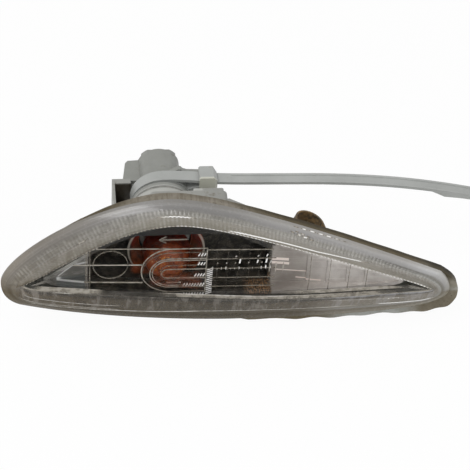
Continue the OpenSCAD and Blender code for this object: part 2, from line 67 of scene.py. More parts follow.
# Light and floor, with lengths in metres. A light has a name, a place, a size and a power.
WORLD_STRENGTH = 0.5
LIGHTS = [("key", (-0.35, -0.25, 0.8), (0.6, 0.5), 5.0), ("front", (0.3, -0.9, 0.5), (0.8, 0.5), 3.0)]
LIGHT_AIM = (0.02, 0, 0)
FLOOR_GAP, FLOOR_REACH = 0.001, 3.0
FLOOR_TONE, FLOOR_WHITE = 0.8, 0.95

# Lens sizes. Ridge and face stand RIDGE_D and FACE_D before the origin, and the lean tells how much
# more for each millimetre of height. The crown is full where the face is CROWN_WIDTH wide. Flutes
# deepen over FLUTE_START and end over FLUTE_END, as places across the band.
WALL = 2.0
LIP_T = 1.0
FOOT_Y, FOOT_EDGE = -3.0, 0.15
FLANGE_Y = -4.2
SKIRT_Y = -4.3
RIDGE_D, RIDGE_LEAN = 7.0, 0.0557
FACE_D, FACE_LEAN = 9.9, 0.0707
CROWN, CROWN_WIDTH = 0.5, 20
BAND_ROUND = 1.43
FLUTE_PITCH, FLUTE_DEPTH = 1.25, 0.24
FLUTE_START, FLUTE_END = 0.12, 0.1

# Outlines seen along Y, as Bezier pieces: start, first handle, second handle
OUTLINE = [[[-51.6, -5], [-50.5, 5.1], [-23.7, 26.6]], [[0, 26.6], [17, 26.6], [57.5, 8.3]],
           [[86.8, -5.5], [88.8, -7.3], [90.4, -9.9]], [[90.4, -12.6], [90.4, -15.4], [87.6, -17]],
           [[84, -18.5], [72, -22], [48, -23]], [[20, -23.1], [0, -22.8], [-28, -19.8]],
           [[-46, -14.3], [-50, -12.6], [-51.6, -9.3]]]
RIDGE = [[[-47, -5], [-44.5, 3], [-17, 24.2]], [[1, 24.2], [16, 24.2], [54, 6.5]],
         [[80, -5.5], [83, -7.3], [86.2, -9.3]], [[86.2, -11.2], [86.2, -13], [84.6, -14]],
         [[81, -15], [66, -17.4], [42, -18.2]], [[20, -17.9], [0, -17.6], [-22, -15.4]],
         [[-40, -11.9], [-44.2, -11], [-47, -9]]]
CREASE = [[[-45.2, -1.6], [-34, 5.5], [-16, 23.3]], [[2, 23.3], [15, 23.3], [50, 7.2]],
          [[78, -4.6], [80.5, -5.8], [83, -7.2]], [[83.6, -7.9], [83, -8.4], [80, -8.7]],
          [[78, -8.7], [64, -9.6], [45, -11.2]], [[30, -10.6], [10, -9.6], [-18, -6.8]],
          [[-40, -3.9], [-43, -3.3], [-44.6, -2.6]]]
# Points on each piece of an outline, and how many times finer the lens is
COARSE_N = [40, 52, 8, 12, 36, 40, 12]
FINE = 7


def rgb(*screen):
    """A colour as seen on screen, 0 to 255, as the linear colour of a shader."""
    linear = (c / 255 / 12.92 if c <= 10 else ((c / 255 + 0.055) / 1.055) ** 2.4 for c in screen)
    return (*linear, 1)


def in_scene(name, data):
    """A new object in the scene."""
    made = bpy.data.objects.new(name, data)
    bpy.context.scene.collection.objects.link(made)
    return made


# Materials


class Shade:
    """One node material in the making."""

    def __init__(self, name):
        self.mat = bpy.data.materials.new(name)
        self.mat.use_nodes = True
        self.tree = self.mat.node_tree
        self.tree.nodes.clear()
        self.out = self.tree.nodes.new("ShaderNodeOutputMaterial")
        self.place = self.tree.nodes.new("ShaderNodeTexCoord").outputs["Object"]

    def node(self, kind, inputs=None, **values):
        n = self.tree.nodes.new(kind)
        for k, v in values.items():
            setattr(n, k, v)
        for k, v in (inputs or {}).items():
            self.feed(n.inputs[k], v)
        return n

    def feed(self, socket, value):
        if isinstance(value, bpy.types.NodeSocket):
            self.tree.links.new(value, socket)
        else:
            socket.default_value = value

    def noise(self, per_mm, detail=3, rough=0.55, stretch=(1, 1, 1)):
        """Noise with that many features in a millimetre."""
        scaled = self.node("ShaderNodeVectorMath", {0: self.place, 1: stretch}, operation="MULTIPLY")
        n = self.node("ShaderNodeTexNoise", {"Vector": scaled.outputs[0], "Scale": per_mm / MM,
                                             "Detail": detail, "Roughness": rough})
        return n.outputs["Fac"]

    def between(self, value, low, high, to_low=0.0, to_high=1.0):
        """value moved from the range low..high to another, and held inside it."""
        n = self.node("ShaderNodeMapRange", {"Value": value, "From Min": low, "From Max": high,
                                             "To Min": to_low, "To Max": to_high})
        n.interpolation_type = "SMOOTHSTEP"
        return n.outputs["Result"]

    def window(self, value, rise, fall):
        """1 between two slopes, each given by the value where it is 0 and the one where it is 1."""
        return self.times(self.between(value, *rise), self.between(value, *fall))

    def calc(self, how, a, b=0.0, c=0.0):
        return self.node("ShaderNodeMath", {0: a, 1: b, 2: c}, operation=how).outputs[0]

    def times(self, *shares):
        """All the shares multiplied."""
        total = shares[0]
        for share in shares[1:]:
            total = self.calc("MULTIPLY", total, share)
        return total

    def blend(self, share, a, b, how="MIX"):
        n = self.node("ShaderNodeMix", data_type="RGBA", blend_type=how)
        for socket, v in zip([n.inputs[0], n.inputs[6], n.inputs[7]], [share, a, b]):
            self.feed(socket, v)
        return n.outputs[2]

    def tinted(self, share, colour, by):
        """colour, multiplied by three factors as far as share says."""
        return self.blend(share, colour, (*by, 1), "MULTIPLY")

    def axis(self, name):
        """The place along one axis, in millimetres."""
        n = self.node("ShaderNodeSeparateXYZ", {0: self.place})
        return self.calc("MULTIPLY", n.outputs[name], 1 / MM)

    def axes(self):
        """The place along X, Y and Z, in millimetres."""
        return [self.axis(name) for name in "XYZ"]

    def tones(self, value, stops, top):
        """Colour read off a row of (place, screen colour), for values from 0 to top."""
        n = self.node("ShaderNodeValToRGB", {0: self.calc("DIVIDE", value, top)})
        ramp = n.color_ramp
        for k, (at, colour) in enumerate(stops):
            stop = ramp.elements[k] if k < 2 else ramp.elements.new(at / top)
            stop.position = at / top
            stop.color = rgb(*colour)
        return n.outputs[0]

    def streaks(self, value, count):
        """Noise that changes quickly with value and slowly along the piece."""
        along = self.calc("MULTIPLY", self.axis("X"), 0.03)
        place = self.node("ShaderNodeCombineXYZ", {0: self.calc("MULTIPLY", value, count), 1: along})
        n = self.node("ShaderNodeTexNoise", {"Vector": place.outputs[0], "Scale": 1.0, "Detail": 3})
        return n.outputs["Fac"]

    def attribute(self, name):
        return self.node("ShaderNodeAttribute", attribute_name=name).outputs["Fac"]

    def bump(self, height, depth_mm):
        return self.node("ShaderNodeBump", {"Height": height, "Distance": depth_mm * MM}).outputs[0]

    def surface(self, colour, rough, normal=None, **more):
        n = self.node("ShaderNodeBsdfPrincipled", {"Base Color": colour, "Roughness": rough})
        if normal is not None:
            self.feed(n.inputs["Normal"], normal)
        for k, v in more.items():
            self.feed(n.inputs[k.replace("_", " ")], v)
        return n.outputs[0]

    def finish(self, shader):
        self.tree.links.new(shader, self.out.inputs["Surface"])
        return self.mat

    def over_clear(self, share, shader):
        """shader over what lies behind it: share is how solid it is."""
        clear = self.node("ShaderNodeBsdfTransparent").outputs[0]
        return self.finish(self.node("ShaderNodeMixShader", {0: share, 1: clear, 2: shader}).outputs[0])


def inside_box(s, low, high, soft=0.4):
    """1 inside a box given by its corners in millimetres, 0 outside."""
    return s.times(*(s.window(at, (a - soft, a + soft), (b + soft, b - soft))
                     for at, a, b in zip(s.axes(), low, high)))


def near_line(s, a, b, width, soft=0.25):
    """1 near a straight line from a to b in X and Z, 0 away from it."""
    x, slope = s.axis("X"), (b[1] - a[1]) / (b[0] - a[0])
    off = s.calc("SUBTRACT", s.axis("Z"), s.calc("MULTIPLY_ADD", x, slope, a[1] - slope * a[0]))
    share = s.between(s.calc("ABSOLUTE", off), width / 2 + soft, width / 2 - soft)
    return s.times(share, s.window(x, (a[0] - soft, a[0] + soft), (b[0] + soft, b[0] - soft)))


def darker(colour, by):
    return (*(c * by for c in colour[:3]), 1)


def moulded_plastic(name, colour, dirt, dirt_from=0.56, rough=0.46, pocket=None, paler=None):
    """Light plastic with grime in spots. pocket is a box of painted shade, and paler a box and its colour:
    painted light on the housing and the holder, a pale stain on the tie.
    """
    s = Shade(name)
    tone = s.blend(s.between(s.noise(0.09), 0.35, 0.65), darker(colour, 0.9), colour)
    grime = s.between(s.noise(0.35, 6, 0.65), dirt_from, dirt_from + 0.16)
    tone = s.blend(s.times(grime, 0.75), tone, dirt)
    if pocket:
        # painted shade inside the pocket, mottled dark brown
        pocket_shade = s.blend(s.noise(0.8, 4), rgb(30, 26, 20), rgb(66, 58, 43))
        tone = s.blend(inside_box(s, *pocket), tone, pocket_shade)
    # paler: a box of lighter colour, painted light on the housing's collar and the holder's flange, a pale
    # stain on the tie's head
    if paler:
        low, high, pale = paler
        tone = s.blend(inside_box(s, low, high), tone, pale)
    roughness = s.between(s.noise(0.5), 0.3, 0.7, rough - 0.06, rough + 0.12)
    return s.finish(s.surface(tone, roughness, s.bump(s.noise(3.2, 2, 0.5), 0.035)))


# Places on the foam with a colour of their own: range in X, range in Z, colour
FOAM_PARTS = [((46, 60), (-12, -15), (142, 142, 139)), ((80, 85), (-11, -8), (64, 58, 42)),
              ((76, 83), (-13, -15), (104, 97, 84))]


def foam_rubber():
    """Foam gasket: paler above the lens, darkest at its rear, stained in places."""
    s = Shade("foam")
    x, y, z = s.axes()
    light = s.times(s.window(x, (-20, -6), (34, 14)), s.between(z, 0, 10))
    tone = s.blend(light, rgb(94, 85, 66), rgb(138, 132, 121))
    tone = s.blend(s.between(x, 76, 86), tone, rgb(118, 113, 103))
    for x_range, z_range, colour in FOAM_PARTS:
        tone = s.blend(s.times(s.between(x, *x_range), s.between(z, *z_range)), tone, rgb(*colour))
    tone = s.tinted(s.between(s.noise(0.22, 5, 0.6), 0.4, 0.6, 0, 0.7), tone, (0.68, 0.66, 0.6))
    ribbed = s.times(light, s.between(s.noise(0.9, 1, 0.5, (1, 0.08, 0.08)), 0.5, 0.6, 0, 0.5))
    tone = s.tinted(ribbed, tone, (0.6, 0.56, 0.52))
    rear = s.times(s.between(y, -2.2, -0.6), s.between(x, 10, 30, 0.35, 1))
    tone = s.tinted(rear, tone, (0.42, 0.39, 0.32))
    front = s.times(s.between(y, -2.2, -2.8), s.between(x, 16, 40))
    tone = s.tinted(front, tone, (1.4, 1.42, 1.4))
    tone = s.blend(s.between(s.noise(1.1, 5, 0.7), 0.58, 0.7, 0, 0.8), tone, rgb(58, 50, 36))
    pores = s.noise(2.6, 4, 0.7)
    return s.finish(s.surface(tone, 0.92, s.bump(pores, 0.22)))


def rusty_steel():
    """Steel under brown rust, with paler crusts."""
    s = Shade("rusty_steel")
    rust = s.between(s.noise(0.5, 6, 0.7), 0.4, 0.6)
    tone = s.blend(rust, rgb(66, 58, 44), rgb(122, 98, 66))
    tone = s.blend(s.between(s.noise(1.7, 4, 0.6), 0.56, 0.7), tone, rgb(150, 128, 92))
    return s.finish(s.surface(tone, s.between(rust, 0, 1, 0.42, 0.8), s.bump(s.noise(2.2, 5, 0.7), 0.08),
                              Metallic=0.45))


def plain_metal(name, colour):
    """Bare metal, a little darker in places."""
    s = Shade(name)
    tone = s.blend(s.between(s.noise(0.9, 4), 0.4, 0.65), colour, darker(colour, 0.7))
    return s.finish(s.surface(tone, s.between(s.noise(2.0, 3), 0.3, 0.7, 0.3, 0.5), Metallic=1.0))


def soft_rubber(name, dark, light):
    """Rubber that wanders between two tones."""
    s = Shade(name)
    tone = s.blend(s.between(s.noise(0.6), 0.4, 0.6), dark, light)
    return s.finish(s.surface(tone, 0.7, s.bump(s.noise(3.0), 0.03)))


# Painted highlights along the folds of the left wing, and painted reflections as bars at the start of the
# right one: from, to, width
FOLD_HIGHLIGHTS = [((-34, -3.2), (-29.3, 0.1), 0.5), ((-29.3, 0), (-24.5, -0.1), 0.5)]
BAR_REFLECTIONS = [((32.6, -0.5), (38.2, -0.8), 1.1), ((32.9, -2.1), (38.4, -2.5), 1.0),
        ((34, -5.0), (44, -5.6), 0.4), ((40.8, -8.2), (48.8, -8.9), 0.5)]


def silvered():
    """Metallised tray: bright wings, and a deep chamber painted dark as shade."""
    s = Shade("silvered")
    x, y, z = s.axes()
    deep = s.calc("MAXIMUM", s.window(x, (-24.8, -24.4), (33.2, 32.4)), s.between(y, 0.3, 0.8))
    tone = s.blend(deep, bright_wings(s, x, y), dark_chamber(s, x, y, z))
    return s.finish(s.surface(tone, s.between(deep, 0, 1, 0.34, 0.5), s.bump(s.noise(0.8, 2), 0.05),
                              Metallic=s.between(deep, 0, 1, 0.15, 0.1)))


def bright_wings(s, x, y):
    """Colour of the wings beside the chamber, with painted highlights and reflections."""
    bright = s.blend(s.between(s.noise(0.25, 3), 0.4, 0.62), rgb(196, 190, 185), rgb(210, 205, 200))
    drawn = s.between(s.noise(0.6, 3, 0.6, (0.1, 1, 3)), 0.55, 0.62, 0, 0.6)
    bright = s.blend(drawn, bright, rgb(226, 222, 217))
    bright = s.tinted(s.between(x, 54, 38), bright, (0.5, 0.48, 0.46))
    # left wing: its lower wall is greyer, with a glint along its middle
    worn = s.between(s.noise(0.3, 3, 0.6, (0.5, 1, 2)), 0.4, 0.6)
    wing = s.blend(worn, rgb(116, 114, 109), rgb(146, 144, 138))
    wall = near_line(s, (-34.4, -4.7), (-24.4, -6.8), 2.6)
    wing = s.blend(wall, wing, rgb(110, 112, 110))
    glint = s.times(wall, s.window(y, (-4.7, -4.3), (-3.4, -3.8)))
    wing = s.blend(glint, wing, rgb(236, 236, 234))
    # painted highlights along the folds of the left wing
    for a, b, width in FOLD_HIGHLIGHTS:
        wing = s.blend(near_line(s, a, b, width), wing, rgb(232, 232, 230))
    bright = s.blend(s.between(x, -24, -26), bright, wing)
    # painted reflections as bars in the first steps of the right wing
    for a, b, width in BAR_REFLECTIONS:
        bright = s.blend(near_line(s, a, b, width, 0.12), bright, rgb(240, 226, 218))
    return bright


def dark_chamber(s, x, y, z):
    """Painted shade of the chamber round the bulb, with painted reflections and highlights."""
    # painted shade: the deep chamber is dark, mottled
    dark = s.blend(s.between(s.noise(0.5, 5, 0.6), 0.42, 0.62), rgb(24, 22, 18), rgb(58, 53, 45))
    specks = s.between(s.noise(1.3, 3, 0.6, (2.4, 1, 1)), 0.64, 0.7, 0, 0.7)
    dark = s.blend(specks, dark, rgb(122, 115, 105))
    # painted amber reflection of the bulb, low on the right of the chamber
    amber = inside_box(s, (25, -7.6, -11), (33, -1, -6.5), 1.6)
    amber = s.times(amber, s.between(s.noise(1.7, 3, 0.6, (1.5, 1, 0.6)), 0.46, 0.58))
    dark = s.blend(amber, dark, rgb(168, 128, 88))
    # the bowl mirrors the bulb, and its upper part is the darkest red
    bowl = inside_box(s, (-10.8, 1.4, -8), (11.2, 12, 13), 0.8)
    mirrored = s.blend(s.between(z, -2, 2), rgb(140, 68, 32), rgb(150, 40, 14))
    dark = s.blend(s.times(bowl, s.between(s.noise(0.5, 3), 0.34, 0.56, 0.45, 1)), dark, mirrored)
    # painted shadow on the wall over the bowl, the darkest place
    over = s.times(s.between(z, 9.0, 10.0), s.between(x, 16, 11), s.between(y, 1.4, 1.0))
    dark = s.tinted(over, dark, (0.25, 0.23, 0.2))
    # painted highlight along the rim of the bowl, by its distance from the bulb's axis
    flat = s.node("ShaderNodeCombineXYZ", {0: x, 2: z}).outputs[0]
    reach = s.node("ShaderNodeVectorMath", {0: flat}, operation="LENGTH").outputs["Value"]
    rim = s.times(s.window(reach, (11.4, 11.7), (12.3, 12.0)), s.between(y, 4.4, 3.6),
                  s.window(z, (-6.5, -5), (10.4, 8.6)), 0.8)
    return s.blend(rim, dark, rgb(160, 152, 140))


def amber_glass():
    """Bulb glass: redder towards its rear, with dark stains, and glints in front."""
    s = Shade("amber_glass")
    y = s.axis("Y")
    tone = s.blend(s.between(y, -4.6, 1), rgb(132, 62, 24), rgb(84, 20, 6))
    tone = s.tinted(s.between(s.noise(0.45, 5, 0.65), 0.46, 0.56), tone, (0.42, 0.34, 0.32))
    glow = s.times(s.between(s.noise(0.9, 4, 0.65), 0.54, 0.64), s.between(y, -2.4, -4.2))
    tone = s.blend(glow, tone, rgb(190, 118, 54))
    return s.finish(s.surface(tone, 0.28, s.bump(s.noise(0.7, 2), 0.03), Specular_IOR_Level=0.25))


# Colours across the band, from its outer edge (0) over the ridge (1) to the crease (2)
UPPER_TONES = [(0.0, (142, 139, 134)), (0.1, (150, 148, 145)), (0.3, (144, 142, 140)),
               (0.5, (136, 134, 131)), (0.6, (129, 126, 119)), (0.75, (136, 133, 126)),
               (1.0, (140, 136, 128)), (1.3, (136, 131, 121)), (1.8, (130, 125, 113)), (2.0, (112, 106, 94))]
LOWER_TONES = [(0.0, (84, 75, 56)), (0.3, (100, 91, 74)), (0.62, (88, 79, 62)), (0.8, (112, 105, 92)),
               (1.1, (96, 87, 71)), (1.6, (94, 84, 68)), (1.84, (56, 49, 38)), (2.0, (112, 107, 98))]
# Painted light and shade along the band, lighter or darker in stretches: range in X, factors
UPPER_TINTS = [((-5, -40), (0.84, 0.79, 0.72)), ((12, 36), (1.42, 1.42, 1.44))]
LOWER_TINTS = [((16, 44), (1.25, 1.26, 1.28)), ((-20, -30), (1.25, 1.25, 1.25)),
               ((40, 57), (2.05, 2.25, 2.7))]
# How much of the band's light comes through it
MILKY = 0.3


def lens_band():
    """Rim of the lens: cloudy plastic, smooth outside, with flutes on its upper inner strip."""
    s = Shade("lens_band")
    x, across_at, upper = s.axis("X"), s.attribute("across"), s.attribute("upper")
    wander = s.calc("ADD", across_at, s.between(s.noise(0.08, 2), 0.3, 0.7, -0.05, 0.05))
    tone = s.blend(upper, lower_band(s, x, across_at, wander), upper_band(s, x, across_at, wander))
    # both ends of the band are lighter: painted light
    tip = s.times(s.between(x, 70, 86), s.between(upper, 0, 1, 0.2, 1))
    tone = s.tinted(tip, tone, (1.42, 1.46, 1.5))
    tone = s.tinted(s.between(x, -38, -48), tone, (1.18, 1.16, 1.12))
    spots = s.between(s.noise(1.3, 4, 0.7), 0.68, 0.76)
    tone = s.blend(s.times(spots, 0.5), tone, rgb(84, 70, 54))
    roughness = s.between(s.noise(0.8, 4), 0.35, 0.65, 0.16, 0.3)
    shader = s.surface(tone, roughness, s.bump(s.noise(0.5, 3), 0.03),
                       Coat_Weight=s.between(upper, 0, 1, 0.04, 0.35), Coat_Roughness=0.06,
                       Specular_IOR_Level=s.between(upper, 0, 1, 0.15, 0.5))
    glow = s.node("ShaderNodeBsdfTranslucent", {"Color": tone}).outputs[0]
    milky = s.node("ShaderNodeMixShader", {0: MILKY, 1: shader, 2: glow}).outputs[0]
    return s.over_clear(s.between(across_at, 0.0, 0.5, 0.95, 0.82), milky)


def upper_band(s, x, across_at, wander):
    """Upper side of the band, with streaks along it, the lighter ones painted highlights, a groove, and
    painted highlights on the crests of its flutes.
    """
    tone = s.tones(wander, UPPER_TONES, 2)
    # painted light and shade along the upper band
    for x_range, by in UPPER_TINTS:
        tone = s.tinted(s.between(x, *x_range), tone, by)
    middle = s.times(s.window(x, (-24, 0), (36, 16)), s.between(across_at, 0.8, 1.0))
    tone = s.tinted(middle, tone, (1.3, 1.3, 1.28))
    outer = s.times(s.between(x, 40, 50), s.between(across_at, 0.7, 0.5))
    tone = s.tinted(outer, tone, (1.12, 1.12, 1.12))
    toothed = s.times(s.between(x, 64, 70), s.window(across_at, (1.15, 1.3), (1.9, 1.7)))
    tone = s.tinted(toothed, tone, (0.78, 0.77, 0.75))
    groove = s.times(s.between(x, 58, 66), s.window(across_at, (0.42, 0.52), (0.8, 0.7)), 0.6)
    tone = s.blend(groove, tone, rgb(92, 90, 84))
    streaks = s.streaks(across_at, 9)
    # painted highlights in the lighter streaks
    tone = s.blend(s.between(streaks, 0.5, 0.72, 0, 0.35), tone, rgb(178, 177, 176))
    tone = s.blend(s.between(streaks, 0.44, 0.3, 0, 0.3), tone, rgb(104, 100, 92))
    # painted highlights on the crests of the flutes
    crest = s.times(s.attribute("crest"), s.between(s.noise(0.3, 3), 0.4, 0.6, 0.12, 0.55))
    return s.blend(crest, tone, rgb(188, 185, 178))


def lower_band(s, x, across_at, wander):
    """Lower side of the band, with light and dark patches inside its ridge."""
    tone = s.tones(wander, LOWER_TONES, 2)
    inner = s.times(s.between(across_at, 0.96, 1.06), s.between(x, 36, 54, 1, 0.3))
    for stretch, colour in [((1, 0.2, 0.2), rgb(152, 145, 136)), ((0.8, 0.15, 0.3), rgb(66, 57, 44))]:
        patch = s.between(s.noise(0.42, 3, 0.6, stretch), 0.48, 0.64, 0, 0.6)
        tone = s.blend(s.times(patch, inner), tone, colour)
    # painted light and shade along the lower band
    for x_range, by in LOWER_TINTS:
        tone = s.tinted(s.between(x, *x_range), tone, by)
    return tone


def lens_face():
    """Clear face: haze that thickens at the ends, fine scratches, and amber light inside the loops."""
    s = Shade("lens_face")
    x = s.axis("X")
    gathered = s.times(inside_box(s, (-5.2, -20, -6.6), (9.5, 0, 3), 1.6),
                       s.between(s.noise(0.5, 4, 0.6), 0.4, 0.62, 0.12, 0.6))
    cover = s.between(s.noise(0.25, 5, 0.65), 0.38, 0.7, 0.0, 0.02)
    for more in (s.between(x, 74.5, 77.5, 0, 0.5), s.between(x, -36.5, -39.5, 0, 0.4),
                 s.between(s.noise(0.9, 2, 0.5, (0.15, 1, 2.6)), 0.66, 0.72, 0.0, 0.1), gathered):
        cover = s.calc("ADD", cover, more)
    tone = s.blend(s.between(gathered, 0.02, 0.1), rgb(160, 155, 146), rgb(104, 52, 26))
    return s.over_clear(cover, s.surface(tone, 0.1, Specular_IOR_Level=0.25))


def lens_inside():
    """Inside of the lens: almost clear, with a strip of painted light along its lower edge."""
    s = Shade("lens_inside")
    # painted light along the lower edge of the inside
    painted_light_strip = s.times(s.between(s.axis("Z"), -6.5, -9), s.between(s.axis("X"), -16, -8, 1, 0.4), 0.5)
    share = s.calc("ADD", s.between(s.noise(0.4, 3), 0.4, 0.7, 0.0, 0.02), painted_light_strip)
    tone = s.blend(s.between(s.noise(0.35, 4, 0.6), 0.4, 0.6), rgb(128, 121, 112), rgb(178, 173, 166))
    return s.over_clear(share, s.surface(tone, 0.25))


# Colours of the raised lines, by their brightness, up to a white painted highlight
OPTICS_TONES = [(0.0, (84, 77, 65)), (0.3, (132, 125, 112)), (0.6, (178, 173, 163)), (1.0, (242, 241, 238))]


def lens_optics():
    """Raised lines, prisms and edges, from faint where crest is 0 to a white painted highlight where it is
    1.
    """
    s = Shade("lens_optics")
    bright = s.times(s.attribute("crest"), s.between(s.noise(0.6, 3), 0.36, 0.6, 0.72, 1.1))
    tone = s.tones(bright, OPTICS_TONES, 1)
    return s.over_clear(s.between(bright, 0.0, 0.4, 0.0, 0.92), s.surface(tone, 0.25, Coat_Weight=0.3))


# Lens


def bezier(p, t):
    """Points of one Bezier piece, given by its four points, at the places t from 0 to 1."""
    t = t[:, None]
    a, b, c, d = (np.array(q, float) for q in p)
    return (1 - t) ** 3 * a + 3 * (1 - t) ** 2 * t * b + 3 * (1 - t) * t * t * c + t ** 3 * d


def closed_loop(pieces, counts):
    """Points of a closed outline in X and Z."""
    parts = []
    for k, (piece, n) in enumerate(zip(pieces, counts)):
        end = pieces[(k + 1) % len(pieces)][0]
        parts.append(bezier([*piece, end], np.arange(n) / n))
    return np.concatenate(parts)


def mix(a, b, f):
    return a + (b - a) * f


def across(p):
    """For each point of a loop, the one on the other long side."""
    return np.roll(p[::-1], 1, axis=0)


# Where the two long sides meet, a point goes this part of the way across at most
MOST_DRAWN = 0.36


def drawn_in(p, dx, dz):
    """A loop made smaller, by dx at its two ends and by dz across its height."""
    left, right = p[0, 0], p[len(p) // 2, 0]
    centre, shrink = (left + right) / 2, 1 - 2 * dx / (right - left)
    q = across(p)
    reach = np.maximum(0.01, np.linalg.norm(q - p, axis=1))
    moved = p + (q - p) * np.minimum(MOST_DRAWN, dz / reach)[:, None]
    moved[:, 0] = centre + (moved[:, 0] - centre) * shrink
    return moved


def ring_at(plan, y):
    """A loop in X and Z as points in space, at the depth y."""
    return np.column_stack([plan[:, 0], np.broadcast_to(y, len(plan)), plan[:, 1]])


def leaning(plan, base, lean):
    """The same on a plane that stands base before the origin and leans with the height."""
    return ring_at(plan, -base - lean * plan[:, 1])


# Folds flatter than this many degrees look round
SMOOTH_ANGLE = 40


class Sheets:
    """Collects points, each with three values, and faces, each with a material number."""

    def __init__(self):
        self.points, self.faces, self.kinds = [], [], []
        self.values = {"crest": [], "across": [], "upper": []}

    def add(self, points, faces, kind, **values):
        """kind is one material number for all the faces, or one for each."""
        start = sum(len(p) for p in self.points)
        points = np.asarray(points, float)
        self.points.append(points)
        for label, held in self.values.items():
            held.append(np.broadcast_to(values.get(label, 0.0), len(points)))
        self.faces += [[start + i for i in f] for f in faces]
        self.kinds += np.broadcast_to(kind, len(faces)).tolist()

    def object(self, name, materials):
        mesh = bpy.data.meshes.new(name)
        mesh.from_pydata((np.concatenate(self.points) * MM).tolist(), [], self.faces)
        for label, held in self.values.items():
            layer = mesh.attributes.new(label, "FLOAT", "POINT")
            layer.data.foreach_set("value", np.concatenate(held).astype(np.float32))
        for m in materials:
            mesh.materials.append(m)
        mesh.polygons.foreach_set("material_index", self.kinds)
        mesh.polygons.foreach_set("use_smooth", [True] * len(mesh.polygons))
        b = bmesh.new()
        b.from_mesh(mesh)
        bmesh.ops.recalc_face_normals(b, faces=b.faces)
        b.to_mesh(mesh)
        b.free()
        mesh.set_sharp_from_angle(angle=math.radians(SMOOTH_ANGLE))
        piece = in_scene(name, mesh)
        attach(piece, BODY)
        return piece


# Material numbers of the lens
BAND, FACE, INSIDE, OPTICS = range(4)

# Places of the rings across the band, from its outer edge (0) over the ridge (1) to the crease (2)
BAND_PLACES = [0.015, 0.05, 0.12, 0.2, 0.28, 0.36, 0.44, 0.52, 0.6, 0.68, 0.76, 0.84, 0.9, 0.95, 0.98, 1,
               1.04, 1.12, 1.25, 1.4, 1.55, 1.7, 1.82, 1.92, 1.97]
# Rows of places along the lens and values there. The places run from 0 at the left end, along the
# upper side to 1 at the right end, and back along the lower side to 2.
UPPER_SIDE = [0, 0.06, 0.9, 0.985, 1.0, 1.01, 1.97, 2], [0.5, 1, 1, 0.6, 0.4, 0, 0, 0.5]
FLUTES_FROM = [0, 0.3, 0.42, 0.65, 0.72, 0.8, 0.9, 1], [0.42, 0.38, 0.5, 0.52, 0.34, 0.4, 0.62, 0.62]
FLUTES_TO = [0, 0.57, 0.7, 0.8, 0.9, 1], [1.98, 1.98, 1.35, 1.2, 1.4, 1.3]
# Brightness of the painted highlight lines at the crease, of a painted light strip inside the lower crease
# and of a painted reflection of the right wing, as rows of X and values there
UPPER_LINE = [-6, 8, 80, 84], [0.3, 1, 1, 0.3]
LOWER_LINE = [-24, -20, 8, 16, 44, 60], [0.35, 0.1, 0.1, 0.2, 0.2, 0.35]
STRIP = [-44, -40, -24, -20, -8, 6, 30, 66, 76], [0, 0.4, 0.4, 0.08, 0.06, 0.34, 0.38, 0.32, 0]
STRIP_EDGE = [-8, 6, 40, 60], [1, 1.8, 1.8, 1]
WING_EDGE = [33, 48, 72, 76, 84], [0, 0.4, 0.42, 0.28, 0.28]


